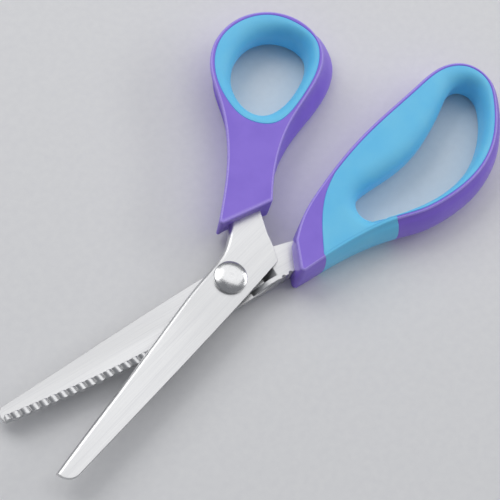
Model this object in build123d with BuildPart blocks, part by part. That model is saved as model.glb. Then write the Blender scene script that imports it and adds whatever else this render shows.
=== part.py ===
from build123d import *
import math
import os

# Decorative edge scissors: two stamped steel blades with scalloped cutting walls, turning on
# one pivot screw, each with a moulded rigid handle and a soft overmoulded grip.
#
# Frame: the origin is on the pivot axis, in the table plane that the scissors lie on.
# +X runs towards the lower blade's tip, +Z runs up along the pivot axis to the screw's head.
# The lower half is drawn in this frame. The upper half is drawn in a frame of its own, which
# is turned about +Z by the opening angle. All lengths are millimetres.

# Heights above the table
SHEAR_HEIGHT = 8.0        # shear plane between the two cutting walls

# Heights from the shear plane
HANDLE_TOP = 8.0          # flat top of both handles
HANDLE_BOTTOM = -8.0      # flat bottom of both handles, on the table
UPPER_FACE = 3.6          # top face of the upper blade
LOWER_FACE = -2.0         # top face of the lower blade
NECK_FACE = 1.3           # top face of the lower blade's raised neck

OPEN_ANGLE = 15.0         # how far the scissors stand open at rest, in degrees

SHEET = 1.8               # thickness of the blade sheet
WALL = 2.0                # thickness of the cutting walls
BEND_RADIUS = 1.5         # outside radius of the upper blade's folded edge

TOOTH_PITCH = 3.55        # scallop spacing, counted along the radius from the pivot
TOOTH_RISE = 1.0          # scallop height
TOOTH_BULGE = 0.75        # how far a scallop stands out sideways
TOOTH_START = 24.1        # radius where the first scallop begins
TOOTH_COUNT = 21
TOOTH_BASE = -0.5         # height of the valleys between scallops
TOOTH_GAP = 0.05          # clearance of each blade from the common tooth surface

RUNNING_GAP = 0.05        # clearance between parts that turn on each other
SHANK_RADIUS = 2.5        # M5 pivot screw
SHANK_FLATS = 4.2         # width across the two flats that key the screw to the lower blade
HEAD_RADIUS = 6.3
HEAD_RIM = 1.3            # height of the head's straight rim, below the dome
HEAD_DOME = 1.2           # rise of the dome above the rim
SPACER_RADIUS = 5.0
WAVE_RADIUS = 4.6
WAVE_HEIGHT = 1.0         # wave washer, pressed together
WAVE_SHEET = 0.4
WASHER_HEIGHT = 0.5
WASHER_RADIUS = 4.9
NUT_FLATS = 8.0           # M5 thin nut, across the flats
NUT_HEIGHT = 2.7

GRIP_SKIN = 2.4           # thickness of the soft overmould
RIM_LINE = 1.3            # width of the rigid rim that frames the soft grip
TOP_ROUND = 0.8           # rounding of the thumb handle's top edge
BOTTOM_BREAK = 0.6        # bevel of the thumb handle's bottom edge
TANG_HOLE = 2.2           # radius of the keying holes in the tangs

JOGGLE_RADIUS = 1.0
HEAD_EDGE = 0.6           # rounding between the screw head's rim and its dome
THREAD_CHAMFER = 0.4
SPACER_EDGE = 0.3
HOLE_ROUND = 3.0          # rounding of the finger holes' edges

# Limits that reach past every part, for shapes that cut right through
FRONT = 110.0
REAR = -60.0
BELOW = -10.0             # from the shear plane
THROUGH = 20.0
CLEAR_HEIGHT = 6.0        # beyond both cutting walls
HALF_WIDTH = 30.0

os.makedirs("parts", exist_ok=True)


def lower(height):
    """Horizontal plane of the lower half, at a height from the shear plane."""
    return Plane.XY.offset(SHEAR_HEIGHT + height)


def upper(height):
    """Horizontal plane of the upper half, at a height from the shear plane."""
    turn = math.radians(OPEN_ANGLE)
    return Plane(
        origin=(0, 0, SHEAR_HEIGHT + height),
        x_dir=(math.cos(turn), math.sin(turn), 0),
        z_dir=(0, 0, 1),
    )


# Upright plane through the pivot axis and the lower blade, its own Y counted from the shear plane
SIDE_VIEW = Plane(origin=(0, 0, SHEAR_HEIGHT), x_dir=(1, 0, 0), z_dir=(0, -1, 0))


def moved_out(points, amounts):
    """Move each point of a closed counter-clockwise outline outwards by its own amount."""
    moved = []
    for index, (x, y) in enumerate(points):
        x_before, y_before = points[index - 1]
        x_after, y_after = points[(index + 1) % len(points)]
        run = x_after - x_before
        rise = y_after - y_before
        length = math.hypot(run, rise)
        amount = amounts[index]
        moved.append((x + amount * rise / length, y - amount * run / length))
    return moved


def tooth_cutter(gap, clear_height):
    """Ring about the pivot axis between the tooth surface and a clear height."""
    base = TOOTH_BASE + gap
    reach = TOOTH_START + TOOTH_COUNT * TOOTH_PITCH
    with BuildPart() as cutter:
        with BuildSketch(SIDE_VIEW):
            with BuildLine():
                Line((0, base), (TOOTH_START, base))
                for tooth in range(TOOTH_COUNT):
                    start = TOOTH_START + tooth * TOOTH_PITCH
                    ThreePointArc(
                        (start, base),
                        (start + TOOTH_PITCH / 2, base + TOOTH_RISE),
                        (start + TOOTH_PITCH, base),
                    )
                Polyline((reach, base), (reach, clear_height), (0, clear_height), (0, base))
            make_face()
        revolve(axis=Axis.Z)
    return cutter.part


# ---------------------------------------------------------------- lower blade
# Cutting edge from the neck to the tip, along the valleys of the scallops
LOWER_EDGE = [(-30.0, 9.1), (0.0, 9.5), (24.0, 9.4), (49.5, 8.4), (73.0, 6.3), (97.3, 3.2)]
LOWER_TIP = (98.0, 1.2)
LOWER_BACK = [(95.2, -2.4), (44.0, -5.2), (8.0, -6.7), (-6.0, -6.9)]
NECK_BACK = (-31.0, -0.9)
LOWER_TANG = [(-51.0, -3.5), (-51.0, 5.5), (-36.0, 8.3)]
LOWER_TANG_HOLES = [(-38.0, 3.2), (-46.5, 1.4)]
JOGGLE_LOW = -12.5        # where the sheet starts to rise towards the neck
JOGGLE_HIGH = -17.0       # where it has reached the neck
JOGGLE_SHIFT = 0.5        # the bends on the underside sit a little further back
NECK_WALL_DEPTH = -6.3    # lower edge of the neck's side wall
NECK_WALL_THICKNESS = 1.8
# Side view of the neck's side wall, from its front end along the bottom and back on top
NECK_WALL_OUTLINE = [
    (-3.0, LOWER_FACE - SHEET), (-7.5, NECK_WALL_DEPTH + 0.4), (-9.0, NECK_WALL_DEPTH),
    (-30.0, NECK_WALL_DEPTH), (-30.0, NECK_FACE), (-13.5, NECK_FACE),
]
NECK_WALL_SLOPE = (-9.5, 0.2)
LOWER_WALL_START = 3.0     # where the cutting wall begins, beside the pivot
NOTCH_RADIUS = 0.8
NOTCHES = (-22.0, -18.8)
NOTCH_SIDE = 9.3          # sideways place of the notches, on the neck wall's outer face


def lower_edge_at(radius):
    """Point of the lower cutting edge at a distance from the pivot axis."""
    low, high = 0.0, 1.0
    for _ in range(40):
        middle = (low + high) / 2
        point = lower_edge_curve @ middle
        behind_pivot = point.X < 0
        if behind_pivot or math.hypot(point.X, point.Y) < radius:
            low = middle
        else:
            high = middle
    return lower_edge_curve @ low


lower_edge_curve = Spline(LOWER_EDGE)

with BuildPart() as lower_sheet:
    with BuildSketch(SIDE_VIEW):
        with BuildLine():
            Polyline(
                (FRONT, LOWER_FACE),
                (JOGGLE_LOW, LOWER_FACE),
                (JOGGLE_HIGH, NECK_FACE),
                (REAR, NECK_FACE),
                (REAR, NECK_FACE - SHEET),
                (JOGGLE_HIGH - JOGGLE_SHIFT, NECK_FACE - SHEET),
                (JOGGLE_LOW - JOGGLE_SHIFT, LOWER_FACE - SHEET),
                (FRONT, LOWER_FACE - SHEET),
                close=True,
            )
        make_face()
    extrude(amount=HALF_WIDTH, both=True)
    bends = lower_sheet.edges().filter_by(Axis.Y).filter_by_position(
        Axis.X, JOGGLE_HIGH - SHEET, JOGGLE_LOW + SHEET
    )
    fillet(bends, JOGGLE_RADIUS)
    with BuildSketch(lower(BELOW)):
        with BuildLine():
            Spline(LOWER_EDGE)
            ThreePointArc(LOWER_EDGE[-1], LOWER_TIP, LOWER_BACK[0])
            Spline(LOWER_BACK)
            Polyline([LOWER_BACK[-1], NECK_BACK] + LOWER_TANG + [LOWER_EDGE[0]])
        make_face()
    extrude(amount=THROUGH, mode=Mode.INTERSECT)

with BuildPart() as lower_wall:
    with BuildSketch(lower(LOWER_FACE - SHEET)):
        with BuildLine() as lower_edge:
            Spline(LOWER_EDGE)
        trace(lower_edge.line, line_width=2 * WALL)
        with BuildLine():
            Spline(LOWER_EDGE)
            ThreePointArc(LOWER_EDGE[-1], LOWER_TIP, LOWER_BACK[0])
            Spline(LOWER_BACK)
            Line(LOWER_BACK[-1], LOWER_EDGE[0])
        make_face(mode=Mode.INTERSECT)
        with Locations((LOWER_WALL_START, 0)):
            Rectangle(-REAR, 2 * HALF_WIDTH, align=(Align.MAX, Align.CENTER), mode=Mode.SUBTRACT)
    extrude(amount=SHEET - LOWER_FACE + TOOTH_RISE)
    for tooth in range(TOOTH_COUNT - 1):
        radius = TOOTH_START + tooth * TOOTH_PITCH
        first = lower_edge_at(radius)
        last = lower_edge_at(radius + TOOTH_PITCH)
        middle = (first + last) / 2
        along = (last - first).normalized()
        out = Vector(-along.Y, along.X)
        with BuildSketch(lower(LOWER_FACE)):
            with BuildLine():
                ThreePointArc(first, middle + out * TOOTH_BULGE, last)
                Polyline(last, last - out * WALL / 2, first - out * WALL / 2, first)
            make_face()
        extrude(amount=TOOTH_RISE - LOWER_FACE)
    add(tooth_cutter(-TOOTH_GAP, CLEAR_HEIGHT), mode=Mode.SUBTRACT)

with BuildPart() as lower_blade:
    add(lower_sheet.part)
    add(lower_wall.part)
    # side wall that stiffens the neck, running out beside the pivot
    with BuildSketch(SIDE_VIEW.offset(-LOWER_EDGE[0][1])):
        with BuildLine():
            Polyline(NECK_WALL_OUTLINE)
            Spline(
                NECK_WALL_OUTLINE[-1], NECK_WALL_SLOPE, NECK_WALL_OUTLINE[0],
                tangents=((1, 0), (1, -0.8)),
            )
        make_face()
    extrude(amount=NECK_WALL_THICKNESS)
    with BuildSketch(lower(BELOW)):
        with Locations([(x, NOTCH_SIDE) for x in NOTCHES]):
            Circle(NOTCH_RADIUS)
        with Locations(LOWER_TANG_HOLES):
            Circle(TANG_HOLE)
    extrude(amount=THROUGH, mode=Mode.SUBTRACT)
    with BuildSketch(lower(BELOW)):
        Circle(SHANK_RADIUS)
        Rectangle(4 * SHANK_RADIUS, SHANK_FLATS, mode=Mode.INTERSECT)
    extrude(amount=THROUGH, mode=Mode.SUBTRACT)
lower_blade.part.label = "lower_blade"
export_step(lower_blade.part, "parts/lower_blade.step")

# ---------------------------------------------------------------- upper blade
UPPER_BACK = [(-18.0, 8.3), (0.0, 8.9), (40.0, 9.5), (93.5, 9.6)]
UPPER_TIP = (97.0, 7.3)
UPPER_EDGE = [
    (97.6, 3.5), (80.0, 1.3), (60.0, -1.0), (30.0, -4.9), (10.0, -7.1),
    (0.0, -7.7), (-6.0, -8.5), (-12.0, -11.0), (-16.5, -14.0),
]
UPPER_TANG = [(-26.0, -21.0), (-46.0, -33.5), (-51.5, -27.5), (-33.5, -15.5)]
UPPER_NECK = [(-29.0, -9.5), (-24.0, -2.0), (-21.3, 3.3)]
UPPER_TANG_HOLES = [(-32.0, -20.5), (-44.0, -28.0)]

with BuildPart() as upper_wall:
    with BuildSketch(upper(TOOTH_BASE - 1)):
        with BuildLine() as upper_edge:
            Spline(UPPER_EDGE)
        trace(upper_edge.line, line_width=2 * WALL)
        with BuildLine():
            Spline(UPPER_EDGE)
            Polyline(UPPER_EDGE[-1], UPPER_NECK[0], UPPER_BACK[0], UPPER_BACK[-1])
            ThreePointArc(UPPER_BACK[-1], UPPER_TIP, UPPER_EDGE[0])
        make_face(mode=Mode.INTERSECT)
    extrude(amount=UPPER_FACE - SHEET / 2 - TOOTH_BASE + 1)
    add(tooth_cutter(TOOTH_GAP, -CLEAR_HEIGHT), mode=Mode.SUBTRACT)

with BuildPart() as upper_blade:
    with BuildSketch(upper(UPPER_FACE - SHEET)):
        with BuildLine():
            Spline(UPPER_BACK)
            ThreePointArc(UPPER_BACK[-1], UPPER_TIP, UPPER_EDGE[0])
            Spline(UPPER_EDGE)
            Polyline([UPPER_EDGE[-1]] + UPPER_TANG + UPPER_NECK + [UPPER_BACK[0]])
        make_face()
        Circle(SHANK_RADIUS + RUNNING_GAP, mode=Mode.SUBTRACT)
        with Locations(UPPER_TANG_HOLES):
            Circle(TANG_HOLE, mode=Mode.SUBTRACT)
    extrude(amount=SHEET)
    add(upper_wall.part)
    top_edges = upper_blade.faces().sort_by(Axis.Z)[-1].edges()
    fillet(top_edges.sort_by(SortBy.LENGTH)[-1], BEND_RADIUS)
upper_blade.part.label = "upper_blade"
export_step(upper_blade.part, "parts/upper_blade.step")

# ---------------------------------------------------------------- pivot
HEAD_UNDERSIDE = UPPER_FACE + RUNNING_GAP
LOWER_UNDERSIDE = LOWER_FACE - SHEET
WAVE_BOTTOM = LOWER_UNDERSIDE - WAVE_HEIGHT
WASHER_BOTTOM = WAVE_BOTTOM - WASHER_HEIGHT
NUT_BOTTOM = WASHER_BOTTOM - NUT_HEIGHT

with BuildPart() as pivot_screw:
    with BuildSketch(SIDE_VIEW):
        with BuildLine():
            Polyline(
                (0, HEAD_UNDERSIDE + HEAD_RIM + HEAD_DOME),
                (0, NUT_BOTTOM),
                (SHANK_RADIUS - THREAD_CHAMFER, NUT_BOTTOM),
                (SHANK_RADIUS, NUT_BOTTOM + THREAD_CHAMFER),
                (SHANK_RADIUS, HEAD_UNDERSIDE),
                (HEAD_RADIUS, HEAD_UNDERSIDE),
                (HEAD_RADIUS, HEAD_UNDERSIDE + HEAD_RIM),
            )
            ThreePointArc(
                (HEAD_RADIUS, HEAD_UNDERSIDE + HEAD_RIM),
                (HEAD_RADIUS * 0.72, HEAD_UNDERSIDE + HEAD_RIM + HEAD_DOME * 0.72),
                (0, HEAD_UNDERSIDE + HEAD_RIM + HEAD_DOME),
            )
        make_face()
    revolve(axis=Axis.Z)
    head_edges = pivot_screw.edges().filter_by(GeomType.CIRCLE).filter_by(
        lambda edge: abs(edge.radius - HEAD_RADIUS) < RUNNING_GAP
    )
    fillet(head_edges.sort_by(Axis.Z)[-1], HEAD_EDGE)
    # two flats that fit the keyed hole of the lower blade
    with BuildSketch(lower(LOWER_UNDERSIDE)):
        Circle(SHANK_RADIUS)
        Rectangle(4 * SHANK_RADIUS, SHANK_FLATS, mode=Mode.SUBTRACT)
    extrude(amount=SHEET, mode=Mode.SUBTRACT)
pivot_screw.part.label = "pivot_screw"
export_step(pivot_screw.part, "parts/pivot_screw.step")

with BuildPart() as spacer_washer:
    with BuildSketch(lower(LOWER_FACE)):
        Circle(SPACER_RADIUS)
        Circle(SHANK_RADIUS, mode=Mode.SUBTRACT)
    extrude(amount=UPPER_FACE - SHEET - LOWER_FACE - RUNNING_GAP)
    rims = spacer_washer.edges().filter_by(GeomType.CIRCLE).sort_by(SortBy.RADIUS)[-2:]
    fillet(rims, SPACER_EDGE)
spacer_washer.part.label = "spacer_washer"
export_step(spacer_washer.part, "parts/spacer_washer.step")

with BuildPart() as wave_washer:
    with BuildSketch(SIDE_VIEW):
        with BuildLine():
            Polyline(
                (SHANK_RADIUS + 0.2, LOWER_UNDERSIDE),
                (SHANK_RADIUS + 0.2, LOWER_UNDERSIDE - WAVE_SHEET),
                (WAVE_RADIUS, WAVE_BOTTOM),
                (WAVE_RADIUS, WAVE_BOTTOM + WAVE_SHEET),
                close=True,
            )
        make_face()
    revolve(axis=Axis.Z)
wave_washer.part.label = "wave_washer"
export_step(wave_washer.part, "parts/wave_washer.step")

with BuildPart() as flat_washer:
    with BuildSketch(lower(WASHER_BOTTOM)):
        Circle(WASHER_RADIUS)
        Circle(SHANK_RADIUS + 0.15, mode=Mode.SUBTRACT)
    extrude(amount=WASHER_HEIGHT)
flat_washer.part.label = "flat_washer"
export_step(flat_washer.part, "parts/flat_washer.step")

with BuildPart() as pivot_nut:
    with BuildSketch(lower(NUT_BOTTOM)):
        RegularPolygon(NUT_FLATS / 2, 6, major_radius=False)
        Circle(SHANK_RADIUS, mode=Mode.SUBTRACT)
    extrude(amount=NUT_HEIGHT)
pivot_nut.part.label = "pivot_nut"
export_step(pivot_nut.part, "parts/pivot_nut.step")

# ---------------------------------------------------------------- thumb handle and grip
# Rim of the flat top, counter-clockwise from the collar's inner corner round the loop
THUMB_RIM = [
    (-33.5, -8.0), (-42.0, -14.2), (-52.0, -19.8), (-64.0, -24.2), (-78.0, -27.0),
    (-90.0, -30.0), (-98.0, -35.0), (-102.3, -43.5), (-101.5, -53.5), (-96.0, -62.0),
    (-87.0, -67.6), (-77.0, -69.0), (-67.0, -66.5), (-58.5, -59.5), (-51.0, -48.5),
    (-42.0, -38.0), (-30.0, -28.0), (-11.0, -16.0),
]
# How far the side walls stand out from each point of the rim, where the skirt is widest and at
# the bottom: the skirt flares on one side, and the walls lean in on the other
THUMB_FLARE = [
    0.3, 1.0, 1.8, 3.2, 4.6, 5.6, 6.6, 6.6, 3.5, 0.5, -1.2, -2.4, -3.4, -4.0, -4.0, -3.6, -3.0, -1.6,
]
THUMB_FOOT = [
    0.2, 0.6, 1.1, 1.9, 2.8, 3.4, 4.0, 4.0, 2.1, 0.0, -1.8, -3.0, -3.8, -4.0, -4.2, -4.0, -3.4, -1.8,
]
THUMB_GRIP = [
    (-53.0, -38.0), (-58.5, -29.2), (-68.0, -27.2), (-80.0, -28.9), (-91.0, -32.2),
    (-99.0, -38.5), (-101.0, -46.0), (-98.0, -57.0), (-90.0, -64.6), (-78.0, -67.6),
    (-67.5, -64.9), (-59.0, -57.5), (-54.0, -47.5),
]
THUMB_HOLE = [
    (-58.0, -40.0), (-61.5, -34.0), (-70.0, -31.6), (-79.0, -32.4), (-89.0, -35.4),
    (-96.0, -40.5), (-97.0, -47.0), (-92.0, -54.8), (-82.0, -59.2), (-70.0, -57.0),
    (-61.0, -50.0),
]
THUMB_CORE = [(0.0, 0.0), (-115.0, 0.0), (-115.0, -80.0), (0.0, -80.0)]
SKIRT_HEIGHT = -4.5       # level where the skirt is widest
SHOULDER_HEIGHT = 2.0     # level where the walls have reached part of their final lean
SHOULDER_SHARE = 0.4
COLLAR_FLOOR = -4.0       # underside of the collar
COLLAR_FLAT = 6.0         # how far the collar's level underside reaches behind the collar's axis
COLLAR_SLOPE = 32.0       # where the underside has come down to the table


def loft_body(plane_at, outlines):
    """Smooth body through outlines, each given by its height and points."""
    with BuildPart() as body:
        for height, points in outlines:
            with BuildSketch(plane_at(height)):
                with BuildLine():
                    Spline(points)
                    Line(points[-1], points[0])
                make_face()
        loft()
    return body.part


def closed_prism(plane_at, points):
    """Upright prism on a closed smooth outline, through the whole height of a handle."""
    with BuildPart() as prism:
        with BuildSketch(plane_at(HANDLE_BOTTOM - 1)):
            with BuildLine():
                Spline(points, periodic=True)
            make_face()
        extrude(amount=HANDLE_TOP - HANDLE_BOTTOM + 2)
    return prism.part


thumb_body = loft_body(upper, [
    (HANDLE_BOTTOM, moved_out(THUMB_RIM, THUMB_FOOT)),
    (SKIRT_HEIGHT, moved_out(THUMB_RIM, THUMB_FLARE)),
    (SHOULDER_HEIGHT, moved_out(THUMB_RIM, [SHOULDER_SHARE * flare for flare in THUMB_FLARE])),
    (HANDLE_TOP, THUMB_RIM),
])


def core_slab(plane_at, hole, outline):
    """Rigid core under the soft skin: a slab with the hole grown by the skin's thickness."""
    bottom = HANDLE_BOTTOM + GRIP_SKIN
    top = HANDLE_TOP - GRIP_SKIN
    with BuildPart() as slab:
        with BuildSketch(plane_at(bottom)):
            with BuildLine():
                Polyline(outline, close=True)
            make_face()
        extrude(amount=top - bottom)
        with BuildSketch(plane_at(bottom)):
            with BuildLine():
                Spline(moved_out(hole, [GRIP_SKIN] * len(hole)), periodic=True)
            make_face()
        extrude(amount=top - bottom, mode=Mode.SUBTRACT)
    return slab.part


def round_rims(body, hole_radius, top_radius, bottom_break):
    """Soften the loop's flat top and bottom: a little outside, and wide where a finger enters."""
    for face in (body.faces().sort_by(Axis.Z)[-1], body.faces().sort_by(Axis.Z)[0]):
        fillet(face.inner_wires().edges(), hole_radius)
    if top_radius:
        fillet(body.faces().sort_by(Axis.Z)[-1].outer_wire().edges(), top_radius)
    if bottom_break:
        chamfer(body.faces().sort_by(Axis.Z)[0].outer_wire().edges(), bottom_break)


COLLAR_AXIS = Plane(
    origin=upper(0).from_local_coords((-22.0, -12.0, 0)),
    x_dir=upper(0).from_local_coords((-0.84, -0.54, 0)) - upper(0).origin,
    z_dir=upper(0).from_local_coords((-0.54, 0.84, 0)) - upper(0).origin,
)

with BuildPart() as thumb_full:
    add(thumb_body)
    # the collar is thinner than the loop: its underside rises towards the blade
    with BuildSketch(COLLAR_AXIS):
        with BuildLine():
            Polyline(
                (-COLLAR_SLOPE, -THROUGH),
                (-COLLAR_SLOPE, COLLAR_FLOOR),
                (COLLAR_FLAT, COLLAR_FLOOR),
                (COLLAR_SLOPE, HANDLE_BOTTOM),
                (COLLAR_SLOPE, -THROUGH),
                close=True,
            )
        make_face()
    extrude(amount=2 * HALF_WIDTH, both=True, mode=Mode.SUBTRACT)
    add(closed_prism(upper, THUMB_HOLE), mode=Mode.SUBTRACT)
    round_rims(thumb_full, HOLE_ROUND, TOP_ROUND, BOTTOM_BREAK)

# The soft skin fills the grip's outline down to the core; the rigid handle is all the rest
thumb_skin = closed_prism(upper, THUMB_GRIP) - core_slab(upper, THUMB_HOLE, THUMB_CORE)
thumb_grip = thumb_full.part & thumb_skin
thumb_grip.label = "thumb_grip"
export_step(thumb_grip, "parts/thumb_grip.step")

thumb_handle = thumb_full.part - thumb_skin - upper_blade.part
thumb_handle.label = "thumb_handle"
export_step(thumb_handle, "parts/thumb_handle.step")

# ---------------------------------------------------------------- finger handle and grip
# Rim of the flat top, counter-clockwise from the collar's outer corner round the bow
FINGER_RIM = [
    (-22.5, 13.0), (-45.0, 12.1), (-66.0, 13.6), (-78.0, 16.3), (-90.0, 17.0),
    (-102.0, 15.8), (-114.0, 12.0), (-125.0, 4.5), (-134.0, -6.5), (-138.1, -16.5),
    (-134.6, -26.0), (-124.0, -30.5), (-108.0, -28.3), (-88.0, -24.3), (-68.0, -19.0),
    (-50.0, -12.2), (-37.0, -5.8), (-28.5, 1.0),
]
# How far the side walls stand out from the rim, half way down and at the bottom
FINGER_BULGE = [
    1.0, 2.4, 4.0, 4.4, 4.4, 4.2, 3.6, 3.0, 2.6, 2.2, 1.6, 0.8, -0.2, -0.8, -0.8, -0.6, -0.2, 0.2,
]
FINGER_FLOOR = [
    0.5, 0.5, 0.5, 0.5, 0.5, 0.5, 0.0, 0.0, 0.0, 0.0, 0.0, 0.0, -1.5, -2.5, -2.5, -2.0, -0.5, 0.0,
]
FINGER_HOLE = [
    (-58.0, 3.5), (-61.0, 9.2), (-72.0, 12.3), (-88.0, 13.7), (-105.0, 10.7),
    (-120.0, 2.5), (-131.0, -10.0), (-132.5, -18.0), (-126.0, -21.8), (-115.0, -17.0),
    (-101.0, -9.5), (-85.0, -5.0), (-68.0, -3.7), (-60.5, -1.5),
]
# Soft grip: it wraps over the bow's outer side wall at the neck, and stays inside the rim elsewhere
FINGER_GRIP_WRAP = [(-64.0, 24.0), (-49.0, 24.0), (-33.0, 20.0)]
FINGER_GRIP_NECK = [(-34.0, 12.4), (-37.5, 6.0), (-43.0, -1.8), (-50.5, -9.3), (-58.0, -14.0)]
# The rigid core keeps a skin's thickness away from the wrapped side wall
FINGER_CORE = [
    (-20.0, 11.0), (-33.0, 11.2), (-50.0, 10.8), (-60.0, 12.0), (-68.5, 15.5), (-72.0, 30.0),
    (-150.0, 30.0), (-150.0, -40.0), (-20.0, -40.0),
]
WIDEST_HEIGHT = -0.5      # level where the finger bow is widest
WRAP_START = 2            # rim point where the grip comes over the side wall
WRAP_END = (-67.5, 13.0)  # where the parting line meets the wrapped side wall
NECK_RIM = 14             # rim point where the parting line leaves the rim

finger_body = loft_body(lower, [
    (HANDLE_BOTTOM, moved_out(FINGER_RIM, FINGER_FLOOR)),
    (WIDEST_HEIGHT, moved_out(FINGER_RIM, FINGER_BULGE)),
    (HANDLE_TOP, FINGER_RIM),
])

with BuildPart() as finger_full:
    add(finger_body)
    add(closed_prism(lower, FINGER_HOLE), mode=Mode.SUBTRACT)
    round_rims(finger_full, HOLE_ROUND, 0, 0)

finger_inset = moved_out(FINGER_RIM, [-RIM_LINE] * len(FINGER_RIM))
with BuildPart() as finger_zone:
    with BuildSketch(lower(HANDLE_BOTTOM - 1)):
        with BuildLine():
            Spline(FINGER_GRIP_NECK + finger_inset[NECK_RIM:WRAP_START:-1] + [WRAP_END])
            Polyline([WRAP_END] + FINGER_GRIP_WRAP + [FINGER_GRIP_NECK[0]])
        make_face()
    extrude(amount=HANDLE_TOP - HANDLE_BOTTOM + 2)

finger_skin = finger_zone.part - core_slab(lower, FINGER_HOLE, FINGER_CORE)
finger_grip = finger_full.part & finger_skin
finger_grip.label = "finger_grip"
export_step(finger_grip, "parts/finger_grip.step")

finger_handle = finger_full.part - finger_skin - lower_blade.part
finger_handle.label = "finger_handle"
export_step(finger_handle, "parts/finger_handle.step")
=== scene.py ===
import bpy
import math
import numpy as np
from mathutils import Matrix, Vector


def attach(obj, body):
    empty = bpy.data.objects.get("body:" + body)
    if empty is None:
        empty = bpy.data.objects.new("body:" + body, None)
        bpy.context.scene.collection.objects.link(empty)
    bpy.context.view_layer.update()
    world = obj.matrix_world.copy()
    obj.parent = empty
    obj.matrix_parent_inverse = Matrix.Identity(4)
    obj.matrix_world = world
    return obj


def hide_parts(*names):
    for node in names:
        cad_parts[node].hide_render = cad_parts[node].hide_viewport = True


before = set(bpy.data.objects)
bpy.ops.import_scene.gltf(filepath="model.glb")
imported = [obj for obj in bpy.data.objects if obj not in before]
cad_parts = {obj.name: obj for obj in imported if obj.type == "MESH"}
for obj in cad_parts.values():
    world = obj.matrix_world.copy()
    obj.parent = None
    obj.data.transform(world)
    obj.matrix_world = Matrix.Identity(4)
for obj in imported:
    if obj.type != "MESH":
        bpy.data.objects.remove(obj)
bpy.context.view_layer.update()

# Decorative edge scissors. The blades, the screw, the washers and the nut are shown as their CAD
# nodes. The two rigid handles and the two soft grips are modelled here as closed quad meshes.
# Handle sizes are in mm. The finger handle is drawn in the frame's own axes, the thumb handle in
# the upper half's, and rims and outlines are lists of points that splines run through.

MM = 0.001
OPEN_ANGLE = math.radians(15.0)    # the upper half is drawn in a frame turned about +Z
TOP = 16.0                         # top and bottom of both handles, in mm above the table
BOTTOM = 0.0

# Columns round a rim, in mm
CORNER_RADIUS = 1.3                # the two corners at the end of a collar
COLUMN_SPACING = 1.0
CROWDING = 4.0                     # extra columns per mm at a corner or a break in the grip
CROWDED_REACH = 1.8
BESIDE_BREAK = 0.3                 # a column stands this far on each side of a break
LEAST_SPACING = 0.12

# Steps that a rim's length is measured in
FINE_STEPS = 4000                  # along its spline
END_STEPS = 400                    # along the straight end of the collar
ARC_STEPS = 6000                   # the whole way round
CORNER_LOOK = 100                  # how far from a corner its two directions are taken


# ---------------------------------------------------------------- curves
def spline_through(points, periodic):
    """Cubic spline through points with centripetal knots, as a function of the fractional index."""
    pts = np.array(points, float)
    if periodic:
        pts = np.vstack([pts, pts[:1]])
    chord = np.linalg.norm(np.diff(pts, axis=0), axis=1) ** 0.5
    knots = np.concatenate([[0.0], np.cumsum(chord)])
    count = len(pts)
    matrix = np.zeros((count, count))
    right = np.zeros((count, pts.shape[1]))
    step = np.diff(knots)
    slope = np.diff(pts, axis=0) / step[:, None]
    for k in range(1, count - 1):
        matrix[k, k - 1] = step[k - 1]
        matrix[k, k] = 2 * (step[k - 1] + step[k])
        matrix[k, k + 1] = step[k]
        right[k] = 6 * (slope[k] - slope[k - 1])
    if periodic:
        matrix[0, 0] = 2 * (step[-1] + step[0])
        matrix[0, 1] = step[0]
        matrix[0, -2] = step[-1]
        right[0] = 6 * (slope[0] - slope[-1])
        matrix[-1, 0] = 1
        matrix[-1, -1] = -1
    else:
        matrix[0, 0] = 1
        matrix[-1, -1] = 1
    bend = np.linalg.solve(matrix, right)

    def at(index):
        index = np.asarray(index, float)
        if periodic:
            index = np.mod(index, count - 1)
        k = np.clip(index.astype(int), 0, count - 2)
        t = (index - k)[:, None] * step[k][:, None]
        h = step[k][:, None]
        a = pts[k]
        b = slope[k] - h * (2 * bend[k] + bend[k + 1]) / 6
        c = bend[k] / 2
        d = (bend[k + 1] - bend[k]) / (6 * h)
        return a + b * t + c * t * t + d * t ** 3

    return at


def smooth_step(value):
    value = np.clip(value, 0.0, 1.0)
    return value * value * (3 - 2 * value)


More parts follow.
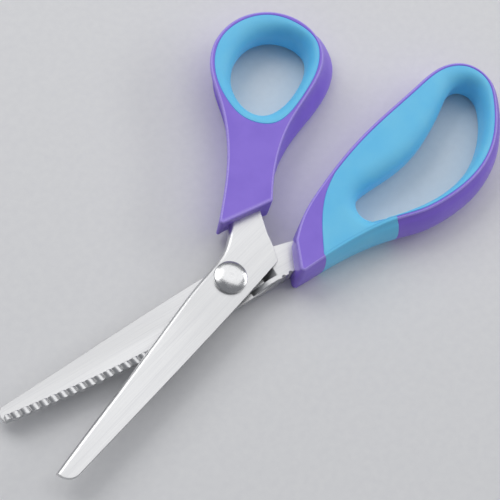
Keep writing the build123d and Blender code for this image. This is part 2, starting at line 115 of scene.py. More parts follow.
def rim_samples(rim, breaks):
    """Points round a handle's rim: a spline, closed by a straight collar end with rounded corners.

    breaks are rim indices where the grip's outline changes, and they get a column of their own.
    Returns the fractional rim index and the position of each column.
    """
    at = spline_through(rim, False)
    last = len(rim) - 1
    fine = np.linspace(0, last, FINE_STEPS)
    line = at(fine)
    end = np.linspace(0, 1, END_STEPS)[1:-1]
    closing = line[-1] + (line[0] - line[-1]) * end[:, None]
    index = np.concatenate([fine, last + end])
    points = np.vstack([line, closing])
    length = np.concatenate([[0], np.cumsum(np.linalg.norm(np.diff(points, axis=0), axis=1))])
    total = length[-1] + np.linalg.norm(points[0] - points[-1])
    wrapped = np.concatenate([length - total, length, length + total])
    tripled = np.vstack([points] * 3)
    indices = np.concatenate([index - last - 1, index, index + last + 1])
    end_corner = length[FINE_STEPS - 1]

    def position(arc):
        return np.stack([np.interp(arc, wrapped, tripled[:, k]) for k in (0, 1)], axis=1)

    def rounded(arc):
        result = position(arc)
        corners = ((end_corner, FINE_STEPS - CORNER_LOOK, FINE_STEPS + 1), (0.0, -1, CORNER_LOOK))
        for spot, before, after in corners:
            corner = position(np.array([spot]))[0]
            into = corner - points[before]
            away = points[after] - corner
            into /= np.linalg.norm(into)
            away /= np.linalg.norm(away)
            turn = math.acos(float(np.clip(into @ away, -1, 1)))
            reach = CORNER_RADIUS * math.tan(turn / 2)
            offset = (arc - spot + total / 2) % total - total / 2
            inside = np.abs(offset) < reach
            left = np.array([-into[1], into[0]])
            centre = corner - into * reach + left * CORNER_RADIUS
            angle = turn * (offset[inside] / reach + 1) / 2
            result[inside] = centre + CORNER_RADIUS * (
                -left * np.cos(angle)[:, None] + into * np.sin(angle)[:, None])
        return result

    # columns stand closer together at the corners and at the breaks
    arc = np.linspace(0, total, ARC_STEPS, endpoint=False)
    density = np.full(len(arc), 1 / COLUMN_SPACING)
    break_arcs = [float(np.interp(k, index, length)) for k in breaks]
    for spot in [0.0, end_corner, total] + break_arcs:
        density += CROWDING * np.exp(-((arc - spot) / CROWDED_REACH) ** 2)
    summed = np.concatenate([[0], np.cumsum((density[1:] + density[:-1]) / 2 * np.diff(arc))])
    count = int(summed[-1]) + 1
    columns = np.interp(np.arange(count) / count * summed[-1], summed, arc)
    for spot in break_arcs:
        columns[np.argmin(np.abs(columns - spot))] = spot
    beside = [spot + step for spot in break_arcs for step in (-BESIDE_BREAK, BESIDE_BREAK)]
    clear = [c for c in columns if all(abs(c - b) > LEAST_SPACING for b in beside)]
    columns = np.array(sorted(clear + beside))
    return np.interp(columns, wrapped, indices), rounded(columns)


def outward(points):
    """Outward unit normals of a closed counter-clockwise polyline."""
    along = np.roll(points, -1, axis=0) - np.roll(points, 1, axis=0)
    along /= np.linalg.norm(along, axis=1)[:, None]
    return np.stack([along[:, 1], -along[:, 0]], axis=1)


def smoothed(points, values, reach):
    """Values of the points of a closed outline, averaged over their neighbours along it."""
    steps = np.linalg.norm(np.roll(points, -1, axis=0) - points, axis=1)
    arc = np.concatenate([[0], np.cumsum(steps)[:-1]])
    total = steps.sum()
    away = np.abs(arc[:, None] - arc[None, :])
    away = np.minimum(away, total - away)
    # a point stands for the stretch of outline around it, however close its neighbours are
    stretch = (steps + np.roll(steps, 1)) / 2
    weight = np.exp(-(away / reach) ** 2) * stretch[None, :]
    return (weight @ values) / (weight @ np.ones_like(values))


def through_heights(levels, heights):
    """Each column's wall offset at its own height.

    levels are (height, offsets of the columns), joined by a Lagrange polynomial.
    """
    result = 0
    for k, (height, amounts) in enumerate(levels):
        share = 1.0
        for other, (other_height, _) in enumerate(levels):
            if other != k:
                share = share * (heights - other_height) / (height - other_height)
        result = result + share * amounts
    return result


# ---------------------------------------------------------------- grid of a handle
# V-shaped groove along the parting line of grip and handle
GROOVE_HALF = 0.22
GROOVE_DEPTH = 0.22
GROOVE_MID = 0.55           # a row stands at this share of the half width,
GROOVE_MID_DEPTH = 0.35     # at this share of the depth
GROOVE_CLEAR = GROOVE_HALF * 1.5

# How the soft grip rolls over into the hole
ROLL_WIDTH = 7.0
ROLL_DROP = 5.8
ROLL_SHARE = 0.92           # the most of the grip's width that the roll takes
ROLL_STEEPNESS = 3.0        # the most that it drops for its width

# Side wall and underside
LEAN_REACH = 5.0            # the side walls lean by a normal that is averaged this far along
EDGE_SHARE = 0.8            # the most of the rim's width that its rounding takes
FOOT_RADIUS = 0.5           # rounding at the foot of the side wall
MIN_BAND = 0.7              # the least width the shell keeps on the underside
GROOVE_BAND = 0.98 * MIN_BAND
MOST_MOVED = 5.0            # how far a point of the underside may be moved in
LEAST_UNDER = 0.3           # where the underside is slim, its flat part covers at least this
LEAST_GROOVE = 0.4          # share of it, and the groove starts at least this far across

# Soft skin, as a share of the loop's or the grip's width, and in mm
SKIN_OF_LOOP = 0.3
SKIN_OF_GRIP = 0.4
MIN_SKIN = 0.35             # also how far the core stays from the handle's top and bottom
MAX_SKIN = 2.0
SKIN_REACH = 2.0            # the thickness is averaged this far along the rim
FLAT_WITHIN = 0.001         # rows that differ less than this in height are flat

# Rows of the section
WALL_ROWS = 16
ROLL_ROWS = 12
EDGE_ROWS = 6
TOP_SHARES = (0.0, 0.02, 0.1, 0.3, 0.6, 0.85, 0.97)
UNDER_SHARES = np.concatenate([[0.02, 0.06], np.linspace(0.12, 0.97, 11)])
GRIP_SHARES = (0.03, 0.15, 0.4, 0.7, 0.92)
HOLE_SHARES = (0.2, 0.4, 0.6, 0.8)
FIRST_EDGE_ROW = 3 + len(TOP_SHARES)    # the groove's three rows come first


def kept_inside(points, foot_line, lean, band):
    """Moves points in where they lie less than band inside the foot of the nearest wall."""
    away = np.linalg.norm(points[:, None] - foot_line[None, :], axis=2)
    nearest = np.argmin(away, axis=1)
    inside = ((foot_line[nearest] - points) * lean[nearest]).sum(axis=1)
    return points - lean[nearest] * np.clip(band - inside, 0.0, MOST_MOVED)[:, None]


def quarter_turn(rows):
    """Sine and cosine of the angles of a quarter round, from its start to its end."""
    return [(math.sin(math.pi / 2 * k / rows), math.cos(math.pi / 2 * k / rows))
            for k in range(rows + 1)]


def roll_of(width):
    """Width and drop of the grip's roll into the hole, for the grip's width."""
    roll = np.minimum((width - GROOVE_CLEAR) * ROLL_SHARE, ROLL_WIDTH)
    return roll, np.minimum(ROLL_STEEPNESS * roll, ROLL_DROP)


def handle_grid(rim, normal, grip, hole, levels, floor_at, edge_radius, shift_bottom):
    """Closed grid round a handle: columns round the rim, rows round the section.

    The rows start at the parting line on the top, run out over the rim, down the side wall, in
    along the underside to the lower parting line, then up through the hole and back.
    Returns the grid (columns, rows, 3), and the row of the lower parting line.
    """
    count = len(rim)
    rows = []
    lean = smoothed(rim, normal, LEAN_REACH)

    def put(xy, z):
        rows.append(np.column_stack([xy, np.broadcast_to(z, (count,))]))

    # top, from the parting line out to the rim's rounding
    out = rim - grip
    out_length = np.linalg.norm(out, axis=1)
    out_unit = out / out_length[:, None]
    put(grip, TOP - GROOVE_DEPTH)
    put(grip + out_unit * (GROOVE_HALF * GROOVE_MID), TOP - GROOVE_DEPTH * GROOVE_MID_DEPTH)
    put(grip + out_unit * GROOVE_HALF, TOP)
    start = grip + out_unit * GROOVE_CLEAR
    radius = np.minimum(edge_radius, (out_length - GROOVE_CLEAR) * EDGE_SHARE)
    stop = rim - normal * radius[:, None]
    for share in TOP_SHARES:
        put(start + (stop - start) * share, TOP)
    for sine, cosine in quarter_turn(EDGE_ROWS):
        put(stop + normal * (radius * sine)[:, None], TOP - radius * (1 - cosine))

    # side wall, between the two roundings at each column's own heights
    floor = floor_at(rim)
    wall_top = TOP - radius
    wall_foot = floor + FOOT_RADIUS
    for k in range(1, WALL_ROWS):
        z = wall_top + (wall_foot - wall_top) * k / WALL_ROWS
        put(rim + lean * through_heights(levels, z)[:, None], z)
    foot = rim + lean * through_heights(levels, wall_foot)[:, None]
    for sine, cosine in quarter_turn(EDGE_ROWS):
        put(foot - normal * (FOOT_RADIUS * (1 - cosine)), floor + FOOT_RADIUS * (1 - sine))

    # underside, in to the lower parting line
    stop = foot - normal * FOOT_RADIUS
    low_grip = kept_inside(grip + lean * shift_bottom[:, None], stop, lean, MIN_BAND)
    inward = low_grip - stop
    gap = np.linalg.norm(inward, axis=1)
    start_share = np.clip(1 - GROOVE_CLEAR / gap, LEAST_UNDER, 1)
    for share in UNDER_SHARES:
        point = stop + inward * (share * start_share)[:, None]
        point = kept_inside(point, stop, lean, MIN_BAND * share)
        put(point, floor_at(point))
    for back, depth in ((1.0, 0.0), (GROOVE_MID, GROOVE_MID_DEPTH)):
        share = np.clip(1 - GROOVE_HALF * back / gap, LEAST_GROOVE, 1)
        point = kept_inside(stop + inward * share[:, None], stop, lean, GROOVE_BAND)
        put(point, floor_at(point) + GROOVE_DEPTH * depth)
    lower_line = len(rows)
    put(low_grip, floor_at(low_grip) + GROOVE_DEPTH)

    # soft side: along the underside and up through the hole, then back over the top
    top_drop = roll_of(np.linalg.norm(hole - grip, axis=1))[1]
    for base, upward, edge in ((low_grip, True, floor_at(low_grip)), (grip, False, TOP)):
        reach = hole - base
        width = np.linalg.norm(reach, axis=1)
        unit = reach / width[:, None]
        roll, drop = roll_of(width)
        flat = width - roll
        none = np.zeros(count)
        piece = [(none + GROOVE_HALF * GROOVE_MID, none + GROOVE_DEPTH * GROOVE_MID_DEPTH),
                 (none + GROOVE_HALF, none)]
        piece += [(GROOVE_HALF + (flat - GROOVE_HALF) * share, none) for share in GRIP_SHARES]
        piece += [(flat + roll * sine, drop * (1 - cosine))
                  for sine, cosine in quarter_turn(ROLL_ROWS)]
        for distance, depth in piece if upward else reversed(piece):
            put(base + unit * distance[:, None], edge + depth if upward else edge - depth)
        if upward:
            low = edge + drop
            for share in HOLE_SHARES:
                put(hole, low + (TOP - top_drop - low) * share)
    return np.stack(rows, axis=1), lower_line


def grid_normals(grid):
    """Outward unit normals of a handle's grid, straight up or down where it is flat."""
    across = np.roll(grid, -1, axis=0) - np.roll(grid, 1, axis=0)
    along = np.roll(grid, -1, axis=1) - np.roll(grid, 1, axis=1)
    normal = np.cross(along, across)
    normal /= np.maximum(np.linalg.norm(normal, axis=2), 1e-9)[:, :, None]
    flat = np.abs(along[:, :, 2]) < FLAT_WITHIN
    upper = grid[:, :, 2] > TOP / 2
    normal[flat & upper] = (0.0, 0.0, 1.0)
    normal[flat & ~upper] = (0.0, 0.0, -1.0)
    return normal


def skin_of(rim, grip, hole, shift_bottom):
    """Thickness of the soft skin in each column: thinner where the loop or the grip is slim."""
    loop = SKIN_OF_LOOP * np.linalg.norm(rim - hole, axis=1)
    pad = SKIN_OF_GRIP * (np.linalg.norm(grip - hole, axis=1) + shift_bottom)
    thickness = np.clip(np.minimum(loop, pad), MIN_SKIN, MAX_SKIN)
    return smoothed(rim, thickness, SKIN_REACH)[:, None, None]


def two_solids(grid, soft, skin):
    """Splits a closed grid into a rigid core and a soft skin over it, both closed.

    soft says for each face (column, row) if it belongs to the skin.
    """
    columns, rows = grid.shape[:2]
    inner = grid - grid_normals(grid) * skin
    inner[:, :, 2] = np.clip(inner[:, :, 2], BOTTOM + MIN_SKIN, TOP - MIN_SKIN)
    count = columns * rows
    rigid_faces, soft_faces = [], []

    def outer(c, r):
        return c % columns * rows + r % rows

    def add_wall(a, b, skin_first):
        """A wall from the outer edge a-b down to the inner one, facing out of both solids."""
        wall = (a, b, b + count, a + count)
        soft_faces.append(wall if skin_first else wall[::-1])
        rigid_faces.append(wall[::-1] if skin_first else wall)

    for c in range(columns):
        for r in range(rows):
            corners = (outer(c, r), outer(c + 1, r), outer(c + 1, r + 1), outer(c, r + 1))
            if soft[c, r]:
                soft_faces.append(corners)
                soft_faces.append(tuple(k + count for k in reversed(corners)))
                rigid_faces.append(tuple(k + count for k in corners))
            else:
                rigid_faces.append(corners)
            if soft[c, r] != soft[c, (r + 1) % rows]:
                add_wall(outer(c, r + 1), outer(c + 1, r + 1), soft[c, r])
            if soft[c, r] != soft[(c + 1) % columns, r]:
                add_wall(outer(c + 1, r + 1), outer(c + 1, r), soft[c, r])
    points = np.vstack([grid.reshape(-1, 3), inner.reshape(-1, 3)])
    return points, rigid_faces, soft_faces


def edge_share(grid):
    """How much each point of the grid belongs to the rounded top edge of the rim, 0 to 1; it masks
    the painted edge highlight.
    """
    share = np.zeros(grid.shape[:2])
    share[:, FIRST_EDGE_ROW:FIRST_EDGE_ROW + EDGE_ROWS] = 1.0
    return np.concatenate([share.ravel(), np.zeros(share.size)])


def make_piece(name, points, faces, edge, turned, body, node, material):
    """A closed mesh from the faces and the points they use, riding on a body, for a CAD node.

    turned says that the points are in the upper half's own frame. edge is kept as an attribute, the
    mask of the painted edge highlight.
    """
    used = sorted({k for face in faces for k in face})
    place = {k: n for n, k in enumerate(used)}
    coords = points[used] * MM
    if turned:
        cos, sin = math.cos(OPEN_ANGLE), math.sin(OPEN_ANGLE)
        coords = np.column_stack([
            coords[:, 0] * cos - coords[:, 1] * sin,
            coords[:, 0] * sin + coords[:, 1] * cos,
            coords[:, 2],
        ])
    mesh = bpy.data.meshes.new(name)
    mesh.from_pydata(coords.tolist(), [], [[place[k] for k in reversed(face)] for face in faces])
    mesh.update()
    layer = mesh.attributes.new("edge", "FLOAT", "POINT")
    layer.data.foreach_set("value", edge[used])
    mesh.polygons.foreach_set("use_smooth", [True] * len(mesh.polygons))
    mesh.materials.append(material)
    piece = bpy.data.objects.new(name, mesh)
    bpy.context.scene.collection.objects.link(piece)
    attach(piece, body)
    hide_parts(node)


# ---------------------------------------------------------------- materials
def srgb(red, green, blue):
    """Linear colour of a screen colour, 0 to 255."""
    def linear(value):
        value /= 255.0
        return value / 12.92 if value <= 0.04045 else ((value + 0.055) / 1.055) ** 2.4
    return (linear(red), linear(green), linear(blue), 1.0)


# Sockets of the mix node in its colour form
MIX_FACTOR, MIX_FIRST, MIX_SECOND, MIX_RESULT = 0, 6, 7, 2
BEVEL_SAMPLES = 4


class Nodes:
    """Short way to add and link shader nodes of one material."""

    def __init__(self, name):
        self.material = bpy.data.materials.new(name)
        self.material.use_nodes = True
        self.tree = self.material.node_tree
        self.shader = self.tree.nodes["Principled BSDF"]
        self.coords = self.add("ShaderNodeTexCoord").outputs["Object"]

    def feed(self, socket, source):
        """Links a socket to another, or gives it a plain value."""
        if isinstance(source, bpy.types.NodeSocket):
            self.tree.links.new(source, socket)
        else:
            socket.default_value = source

    def add(self, kind, links=(), **values):
        node = self.tree.nodes.new(kind)
        for key, value in values.items():
            setattr(node, key, value)
        for socket, source in dict(links).items():
            self.feed(node.inputs[socket], source)
        return node

    def noise(self, scale, detail=4.0, rough=0.5, stretch=(1, 1, 1), turn=0.0):
        """Noise, stretched along axes that are turned about +Z."""
        turned = self.add("ShaderNodeMapping", {"Vector": self.coords, "Rotation": (0, 0, -turn)})
        mapping = self.add("ShaderNodeMapping", {"Vector": turned.outputs[0], "Scale": stretch})
        texture = self.add("ShaderNodeTexNoise", {
            "Vector": mapping.outputs[0], "Scale": scale, "Detail": detail, "Roughness": rough,
        })
        return texture.outputs["Fac"]

    def spread(self, source, low, high, new_low, new_high):
        """Maps a value from low...high to new_low...new_high."""
        node = self.add("ShaderNodeMapRange", {
            "Value": source, "From Min": low, "From Max": high,
            "To Min": new_low, "To Max": new_high,
        })
        return node.outputs[0]

    def mix(self, factor, first, second):
        node = self.add("ShaderNodeMix", data_type="RGBA")
        for socket, source in ((MIX_FACTOR, factor), (MIX_FIRST, first), (MIX_SECOND, second)):
            self.feed(node.inputs[socket], source)
        return node.outputs[MIX_RESULT]

    def bump(self, source, distance, strength, normal=None):
        links = {"Height": source, "Distance": distance, "Strength": strength}
        if normal is not None:
            links["Normal"] = normal
        return self.add("ShaderNodeBump", links).outputs[0]

    def bevel(self, radius):
        return self.add("ShaderNodeBevel", {"Radius": radius}, samples=BEVEL_SAMPLES).outputs[0]

    def set(self, **values):
        """Sets or links the surface's inputs, and returns the material."""
        for name, source in values.items():
            self.feed(self.shader.inputs[name.replace("_", " ")], source)
        return self.material


def moulded_plastic():
    """Satin purple plastic: faint cloudiness, a fine moulded grain and a painted highlight along
    the rounded top edges.
    """
    n = Nodes("purple_plastic")
    cloud = n.spread(n.noise(90, 3), 0.35, 0.65, 0.0, 1.0)
    colour = n.mix(cloud, srgb(138, 108, 228), srgb(146, 116, 234))
    # painted highlight: the rim's rounded top edge is lightened towards a pale purple, in patches
    # set by noise
    highlight_patches = n.spread(n.noise(1500, 4, 0.7), 0.3, 0.6, 0.35, 0.75)
    edge = n.add("ShaderNodeAttribute", attribute_name="edge").outputs["Fac"]
    painted_highlight = n.add("ShaderNodeMath", {0: edge, 1: highlight_patches}, operation="MULTIPLY").outputs[0]
    colour = n.mix(painted_highlight, colour, srgb(190, 172, 255))
    grain = n.noise(2600, 3, 0.6)
    normal = n.bump(grain, 0.00004, 0.35)
    rough = n.spread(n.noise(700, 4), 0.3, 0.7, 0.3, 0.42)
    return n.set(Base_Color=colour, Roughness=rough, Normal=normal, Specular_IOR_Level=0.55)


def soft_rubber():
    """Matt blue rubber: soft light through the skin and a fine velvety grain."""
    n = Nodes("blue_rubber")
    cloud = n.spread(n.noise(70, 3), 0.35, 0.65, 0.0, 1.0)
    colour = n.mix(cloud, srgb(108, 208, 255), srgb(120, 214, 255))
    grain = n.noise(3800, 4, 0.65)
    normal = n.bump(grain, 0.00005, 0.4)
    rough = n.spread(n.noise(1200, 4), 0.3, 0.7, 0.46, 0.6)
    return n.set(
        Base_Color=colour, Roughness=rough, Normal=normal, Specular_IOR_Level=0.4,
        Subsurface_Weight=0.08, Subsurface_Radius=(0.0006, 0.001, 0.0015), Sheen_Weight=0.1,
    )


def brushed_steel(name, turn):
    """Brushed blade steel: fine grinding lines along the blade, broader streaks and grit."""
    n = Nodes(name)
    lines = n.noise(1, 6, 0.7, (35, 2600, 2600), turn)
    broad = n.noise(1, 3, 0.5, (12, 420, 420), turn)
    colour = n.mix(n.spread(lines, 0.3, 0.7, 0, 1), (0.62, 0.62, 0.63, 1), (0.76, 0.76, 0.755, 1))
    colour = n.mix(n.spread(broad, 0.35, 0.65, 0, 0.22), colour, (0.84, 0.84, 0.83, 1))
    grit = n.noise(5200, 3, 0.7)
    colour = n.mix(n.spread(grit, 0.3, 0.7, 0, 0.25), colour, (0.52, 0.52, 0.53, 1))
    rough = n.spread(lines, 0.25, 0.75, 0.26, 0.4)
    normal = n.bump(lines, 0.00003, 0.35, n.bevel(0.0003))
    return n.set(Base_Color=colour, Metallic=1.0, Roughness=rough, Normal=normal, Anisotropic=0.4)


def turned_steel(name, light, roughness):
    """Steel turned on a lathe: fine rings round the pivot axis."""
    n = Nodes(name)
    flat = n.add("ShaderNodeVectorMath", {0: n.coords, 1: (1, 1, 0)}, operation="MULTIPLY")
    length = n.add("ShaderNodeVectorMath", {0: flat.outputs[0]}, operation="LENGTH")
    texture = n.add(
        "ShaderNodeTexNoise", {"W": length.outputs["Value"], "Scale": 5200.0, "Detail": 3.0},
        noise_dimensions="1D")
    rings = texture.outputs["Fac"]
    smear = n.noise(500, 4)
    dark = light * 0.85
    colour = n.mix(
        n.spread(rings, 0.3, 0.7, 0, 1), (dark, dark, dark, 1), (light, light, light, 1))
    rough = n.spread(smear, 0.3, 0.7, roughness * 0.8, roughness * 1.3)
    normal = n.bump(rings, 0.00002, 0.35, n.bevel(0.0002))
    return n.set(Base_Color=colour, Metallic=1.0, Roughness=rough, Normal=normal)


def washer_plastic():
    """Black plastic with a fine grain."""
    n = Nodes("washer_plastic")
    grain = n.noise(3000, 4)
    colour = n.mix(n.spread(grain, 0.3, 0.7, 0, 1), (0.02, 0.02, 0.022, 1), (0.045, 0.045, 0.05, 1))
    return n.set(Base_Color=colour, Roughness=n.spread(grain, 0.3, 0.7, 0.4, 0.6),
                 Normal=n.bump(grain, 0.00004, 0.4))


def floor_paper():
    """Plain pale paper."""
    n = Nodes("floor_paper")
    grain = n.noise(350, 5)
    colour = n.mix(n.spread(grain, 0.3, 0.7, 0, 1), (0.80, 0.80, 0.81, 1), (0.83, 0.83, 0.835, 1))
    return n.set(Base_Color=colour, Roughness=0.85, Normal=n.bump(grain, 0.0001, 0.15))


purple = moulded_plastic()
blue = soft_rubber()
node_materials = {
    "lower_blade": brushed_steel("lower_blade_steel", 0.0),
    "upper_blade": brushed_steel("upper_blade_steel", OPEN_ANGLE),
    "pivot_screw": turned_steel("screw_steel", 0.78, 0.22),
    "spacer_washer": washer_plastic(),
    "wave_washer": turned_steel("spring_steel", 0.42, 0.3),
    "flat_washer": turned_steel("washer_steel", 0.62, 0.28),
    "pivot_nut": turned_steel("nut_steel", 0.66, 0.25),
}
for node, material in node_materials.items():
    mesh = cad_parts[node].data
    if not mesh.materials:
        mesh.materials.append(material)
    for place in range(len(mesh.materials)):
        mesh.materials[place] = material

# ---------------------------------------------------------------- thumb handle and grip
THUMB_RIM = [
    (-33.5, -8.0), (-42.0, -14.2), (-52.0, -19.8), (-64.0, -24.2), (-78.0, -27.0),
    (-90.0, -30.0), (-98.0, -35.0), (-102.3, -43.5), (-101.5, -53.5), (-96.0, -62.0),
    (-87.0, -67.6), (-77.0, -69.0), (-67.0, -66.5), (-58.5, -59.5), (-51.0, -48.5),
    (-42.0, -38.0), (-30.0, -28.0), (-11.0, -16.0),
]
# Side wall offsets from the rim, where the skirt is widest and at the bottom
THUMB_FLARE = [
    0.3, 1.0, 1.8, 3.2, 4.6, 5.6, 6.6, 6.6, 3.5, 0.5, -1.2, -2.4, -3.4, -4.0, -4.0, -3.6, -3.0,
    -1.6, 0.3,
]
THUMB_FOOT = [
    0.2, 0.6, 1.1, 1.9, 2.8, 3.4, 4.0, 4.0, 2.1, 0.0, -1.6, -2.7, -3.4, -3.5, -3.7, -3.8, -3.4,
    -1.8, 0.2,
]
THUMB_GRIP = [
    (-53.0, -38.0), (-58.5, -29.2), (-68.0, -27.2), (-80.0, -28.9), (-91.0, -32.2),
    (-99.0, -38.5), (-101.0, -46.0), (-98.0, -57.0), (-90.0, -64.6), (-78.0, -67.6),
    (-67.5, -64.9), (-59.0, -57.5), (-54.0, -47.5),
]
THUMB_HOLE = [
    (-58.0, -40.0), (-61.5, -34.0), (-70.0, -31.6), (-79.0, -32.4), (-89.0, -35.4),
    (-96.0, -40.5), (-97.0, -47.0), (-92.0, -54.8), (-82.0, -59.2), (-70.0, -57.0),
    (-61.0, -50.0),
]
# Which point of the grip's outline and of the hole each rim point faces, by index
THUMB_FACING = [
    (0, 0.5, 0.35), (2, 1.3, 1.1), (3, 1.9, 1.7), (4, 2.9, 2.9), (5, 3.9, 4.0), (6, 4.6, 4.7),
    (7, 5.6, 5.6), (8, 6.6, 6.5), (9, 7.4, 7.2), (10, 8.3, 7.75), (11, 9.1, 8.5), (12, 10.0, 9.2),
    (13, 10.95, 9.9), (14, 11.9, 10.2), (15, 12.5, 10.6), (17, 12.9, 11.0), (18, 13.5, 11.35),
]

# Heights at which the thumb handle's side wall has its offsets
SKIRT_HEIGHT = 3.5
UPPER_HEIGHT = 10.0
UPPER_SHARE = 0.4           # the offset at the upper height, as a share of the skirt's

# The collar's underside
COLLAR_ORIGIN = np.array([-22.0, -12.0])
COLLAR_DIRECTION = np.array([-0.84, -0.54])
COLLAR_FLOOR = 4.0
COLLAR_FLAT = 2.0           # where it starts and ends its slope, along the collar
COLLAR_SLOPE = 36.0

# How the thumb grip's lower parting line follows the wall's foot
HOLE_CLEAR = 3.2            # it stays this far from the hole
NEAR_RIM = 2.5              # where the grip is this near the rim, it follows in full
FADE_WIDTH = 5.0            # and it stops following over this much more
SHIFT_REACH = 2.0           # what it moves is averaged this far along the rim

# Both handles
EDGE_RADIUS = 0.8           # rounding at the top of the rim
FACING_PASSES = 6           # how often the facing tables' corners are softened


def thumb_floor(points):
    """Height of the thumb handle's underside: it comes down from the collar to the table."""
    along = (points - COLLAR_ORIGIN) @ COLLAR_DIRECTION
    return COLLAR_FLOOR * (1 - smooth_step((along - COLLAR_FLAT) / (COLLAR_SLOPE - COLLAR_FLAT)))


def finger_floor(points):
    return np.full(len(points), BOTTOM)


def facing(index, table, column, period):
    """Outline indices that the rim's columns face, from a table, with its corners softened."""
    rim_index = [row[0] for row in table]
    values = [row[column] for row in table]
    result = np.interp(np.mod(index, rim_index[-1]), rim_index, values)
    steps = np.mod(np.roll(result, -1) - result + period / 2, period) - period / 2
    unrolled = np.concatenate([[result[0]], result[0] + np.cumsum(steps)[:-1]])
    for _ in range(FACING_PASSES):
        padded = np.concatenate([[unrolled[-1] - period], unrolled, [unrolled[0] + period]])
        unrolled = (padded[:-2] + 2 * padded[1:-1] + padded[2:]) / 4
    return unrolled


def outline_at(outline, index, table, column):
    """The points of a closed outline that the rim's columns face."""
    return spline_through(outline, True)(facing(index, table, column, len(outline)))


def by_index(index, values):
    return np.interp(index, range(len(values)), values)


def make_handle(name, grid, lower_line, wrapped, skin, turned, body):
    """Makes a handle's shell and pad; wrapped are the columns that the pad covers right round."""
    soft = np.zeros(grid.shape[:2], bool)
    soft[:, lower_line:] = True
    soft[wrapped, :] = True
    points, rigid_faces, soft_faces = two_solids(grid, soft, skin)
    edge = edge_share(grid)
    make_piece(name + "_shell", points, rigid_faces, edge, turned, body, name + "_handle", purple)
    make_piece(name + "_pad", points, soft_faces, edge, turned, body, name + "_grip", blue)


index, rim = rim_samples(THUMB_RIM, [])
grip = outline_at(THUMB_GRIP, index, THUMB_FACING, 1)
hole = outline_at(THUMB_HOLE, index, THUMB_FACING, 2)
foot = by_index(index, THUMB_FOOT)
flare = by_index(index, THUMB_FLARE)
levels = [
    (BOTTOM, foot), (SKIRT_HEIGHT, flare), (UPPER_HEIGHT, UPPER_SHARE * flare), (TOP, 0 * flare)]
spare = np.maximum(np.linalg.norm(hole - grip, axis=1) - HOLE_CLEAR, 0.0)
near_rim = 1 - smooth_step((np.linalg.norm(rim - grip, axis=1) - NEAR_RIM) / FADE_WIDTH)
shift = smoothed(rim, np.clip(foot, -spare, 0.0) * near_rim, SHIFT_REACH)
grid, lower_line = handle_grid(
    rim, outward(rim), grip, hole, levels, thumb_floor, np.full(len(rim), EDGE_RADIUS), shift)
make_handle("thumb", grid, lower_line, [], skin_of(rim, grip, hole, shift), True, "upper_half")

# ---------------------------------------------------------------- finger handle and grip
FINGER_RIM = [
    (-22.5, 13.0), (-45.0, 12.1), (-66.0, 13.6), (-78.0, 16.3), (-90.0, 17.0),
    (-102.0, 15.8), (-114.0, 12.0), (-125.0, 4.5), (-134.0, -6.5), (-138.1, -16.5),
    (-134.6, -26.0), (-124.0, -30.5), (-108.0, -28.3), (-88.0, -24.3), (-68.0, -19.0),
    (-50.0, -12.2), (-37.0, -5.8), (-28.5, 1.0),
]
# Side wall offsets from the rim, halfway up and at the bottom
FINGER_BULGE = [
    1.0, 2.4, 4.0, 4.4, 4.4, 4.2, 3.6, 3.0, 2.6, 2.2, 1.6, 0.8, -0.2, -0.8, -0.8, -0.6, -0.2, 0.2,
    1.0,
]
FINGER_FOOT = [
    0.5, 0.5, 0.5, 0.5, 0.5, 0.5, 0.0, 0.0, 0.0, 0.0, 0.0, 0.0, -1.5, -2.5, -2.5, -2.0, -0.5, 0.0,
    0.5,
]
FINGER_HOLE = [
    (-58.0, 3.5), (-61.0, 9.2), (-72.0, 12.3), (-88.0, 13.7), (-105.0, 10.7),
    (-120.0, 2.5), (-131.0, -10.0), (-132.5, -18.0), (-126.0, -21.8), (-115.0, -17.0),
    (-101.0, -9.5), (-85.0, -5.0), (-68.0, -3.7), (-60.5, -1.5),
]
# Which point of the hole each rim point faces, by index
FINGER_FACING = [
    (0, 0.4), (1, 0.9), (2, 1.5), (3, 2.4), (4, 3.1), (5, 3.8), (6, 4.5), (7, 5.2), (8, 6.0),
    (9, 7.0), (10, 7.6), (11, 8.2), (12, 9.4), (13, 10.8), (14, 12.0), (15, 12.9), (16, 13.5),
    (17, 14.0), (18, 14.4),
]
# Parting line across the neck, from the inner rim to the outer rim
FINGER_NECK = [(-50.5, -9.3), (-43.0, -1.8), (-37.5, 6.0)]
RIM_LINE = 1.3              # elsewhere it runs this far inside the rim
NECK_START = 14.55          # rim index where it leaves the rim
WRAP_FIRST = 0.53           # rim indices between which the grip wraps over the side wall
WRAP_LAST = 2.12
WRAP_ROUND = 1.6            # the rim's rounding is this much larger on the wrap,
WRAP_FADE = 0.3             # growing over this much of a rim index
BULGE_HEIGHT = 7.5
SHIFT_KEPT = 0.2            # shares of the way across the neck between which the lower
SHIFT_FADE = 0.35           # parting line stops following the wall's foot

index, rim = rim_samples(FINGER_RIM, [WRAP_FIRST, WRAP_LAST])
normal = outward(rim)
turn_length = len(FINGER_RIM)
ring = np.mod(index, turn_length)
hole = outline_at(FINGER_HOLE, index, FINGER_FACING, 1)
foot = by_index(index, FINGER_FOOT)
bulge = by_index(index, FINGER_BULGE)
levels = [(BOTTOM, foot), (BULGE_HEIGHT, bulge), (TOP, 0 * bulge)]

# the grip's outline: inside the rim, and across the neck
inset = rim - normal * RIM_LINE
neck_ends = [tuple(inset[np.argmin(np.abs(ring - spot))]) for spot in (NECK_START, WRAP_FIRST)]
neck = [neck_ends[0]] + FINGER_NECK + [neck_ends[1]]
share = np.mod(ring - NECK_START, turn_length) / (turn_length - NECK_START + WRAP_FIRST)
on_neck = share <= 1.0
neck_line = spline_through(neck, False)(np.clip(share, 0, 1) * (len(neck) - 1))
grip = np.where(on_neck[:, None], neck_line, inset)

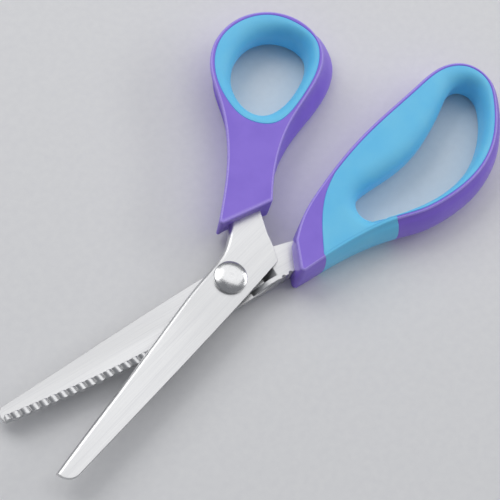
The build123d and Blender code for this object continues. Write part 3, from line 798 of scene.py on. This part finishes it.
in_wrap = (ring > WRAP_FIRST) & (ring < WRAP_LAST)
from_line = np.minimum(np.abs(ring - WRAP_FIRST), np.abs(ring - WRAP_LAST))
edge_radius = EDGE_RADIUS + np.where(in_wrap, WRAP_ROUND * smooth_step(from_line / WRAP_FADE), 0)
shift = np.minimum(foot, 0.0)
shift[on_neck] *= 1 - smooth_step((share[on_neck] - SHIFT_KEPT) / SHIFT_FADE)
grid, lower_line = handle_grid(
    rim, normal, grip, hole, levels, finger_floor, edge_radius, shift)
between = np.mod((ring + np.roll(ring, -1)) / 2, turn_length)
wrapped = (between > WRAP_FIRST) & (between < WRAP_LAST)
make_handle("finger", grid, lower_line, wrapped, skin_of(rim, grip, hole, shift), False,
            "lower_half")

# ---------------------------------------------------------------- floor, light and camera
FLOOR_HALF = 3.0            # half the floor's side, in metres
FLOOR_DROP = 0.0002         # it lies just under the handles
floor_mesh = bpy.data.meshes.new("floor")
floor_mesh.from_pydata(
    [(-FLOOR_HALF, -FLOOR_HALF, 0), (FLOOR_HALF, -FLOOR_HALF, 0),
     (FLOOR_HALF, FLOOR_HALF, 0), (-FLOOR_HALF, FLOOR_HALF, 0)], [], [(0, 1, 2, 3)])
floor_object = bpy.data.objects.new("floor", floor_mesh)
floor_object.location.z = -FLOOR_DROP
bpy.context.scene.collection.objects.link(floor_object)
floor_mesh.materials.append(floor_paper())

LIT_POINT = np.array([-0.0144, -0.0064, 0.008])


def area_light(name, direction, distance, size, power):
    """A rectangular light at a distance in metres, pointed at the middle of the scissors."""
    direction = np.array(direction, float)
    direction /= np.linalg.norm(direction)
    data = bpy.data.lights.new(name, "AREA")
    data.shape = "RECTANGLE"
    data.size, data.size_y = size
    data.energy = power
    light = bpy.data.objects.new(name, data)
    light.location = LIT_POINT + direction * distance
    light.rotation_mode = "QUATERNION"
    light.rotation_quaternion = Vector(direction).to_track_quat("Z", "Y")
    bpy.context.scene.collection.objects.link(light)


area_light("key", (-0.42, -0.30, 0.86), 1.6, (2.2, 1.6), 10.5)
area_light("rim", (-0.9, 0.3, 0.45), 1.3, (0.9, 0.25), 3.0)
area_light("fill", (0.25, -0.75, 0.75), 1.4, (0.9, 0.9), 6.0)

world = bpy.data.worlds.new("studio")
world.use_nodes = True
background = world.node_tree.nodes["Background"]
background.inputs["Color"].default_value = (0.9, 0.93, 1.0, 1)
background.inputs["Strength"].default_value = 0.25
bpy.context.scene.world = world
bpy.context.scene.view_settings.view_transform = "Standard"

camera_data = bpy.data.cameras.new("camera")
camera_data.sensor_width = 36.0
camera_data.lens = 126.1
camera_data.clip_start = 0.01
camera = bpy.data.objects.new("camera", camera_data)
camera.matrix_world = Matrix((
    (-0.8011, -0.4587, 0.3843, 0.2354),
    (0.5669, -0.7876, 0.2416, 0.1506),
    (0.1919, 0.4115, 0.8910, 0.5872),
    (0, 0, 0, 1),
))
bpy.context.scene.collection.objects.link(camera)
bpy.context.scene.camera = camera

bpy.context.view_layer.update()
